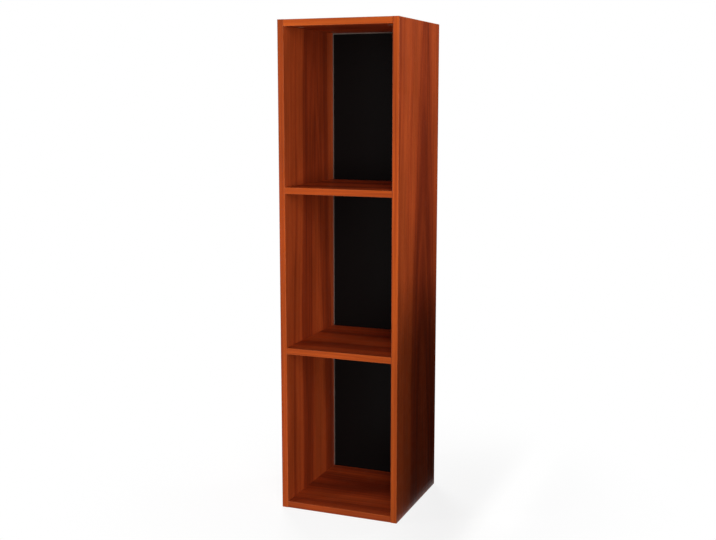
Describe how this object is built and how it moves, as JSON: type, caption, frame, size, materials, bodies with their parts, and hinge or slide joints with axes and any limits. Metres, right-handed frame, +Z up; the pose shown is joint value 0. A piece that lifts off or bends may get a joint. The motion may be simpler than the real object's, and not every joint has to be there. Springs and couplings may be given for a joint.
{
  "type": "record storage shelf",
  "caption": "Tall narrow open shelf with stacked equal compartments for upright 12-inch records, flush wood-grain boards with banded front edges, and an inset black back panel.",
  "frame": {"origin": "on the floor, under the middle of the cabinet's footprint", "axes": "+Z up along the cabinet's height, -Y towards the open front, +X to the right seen from the front"},
  "size_m": [0.305, 0.3, 1.2],
  "materials": {
    "board": "satin reddish wood-grain facing on chipboard",
    "edge_band": "satin orange-brown wood-grain edge band",
    "back": "black lacquered hardboard with a pale bevelled edge",
    "dowel": "plain beech",
    "bolt_steel": "zinc plated",
    "cam_zinc": "die-cast zinc"
  },
  "bodies": {
    "root": {"left_side_panel": "board", "right_side_panel": "board", "top_panel": "board", "upper_shelf": "board", "lower_shelf": "board", "bottom_panel": "board", "back_panel": "back", "left_side_front_band": "edge_band", "right_side_front_band": "edge_band", "left_side_top_band": "edge_band", "right_side_top_band": "edge_band", "top_panel_front_band": "edge_band", "upper_shelf_front_band": "edge_band", "lower_shelf_front_band": "edge_band", "bottom_panel_front_band": "edge_band", "top_panel_dowels": "dowel", "upper_shelf_dowels": "dowel", "lower_shelf_dowels": "dowel", "bottom_panel_dowels": "dowel", "top_panel_cam_bolts": "bolt_steel", "upper_shelf_cam_bolts": "bolt_steel", "lower_shelf_cam_bolts": "bolt_steel", "bottom_panel_cam_bolts": "bolt_steel", "top_panel_cam_locks": "cam_zinc", "upper_shelf_cam_locks": "cam_zinc", "lower_shelf_cam_locks": "cam_zinc", "bottom_panel_cam_locks": "cam_zinc", "upper_shelf_back_screws": "bolt_steel", "lower_shelf_back_screws": "bolt_steel", "bottom_panel_back_screws": "bolt_steel"}
  },
  "joints": []
}
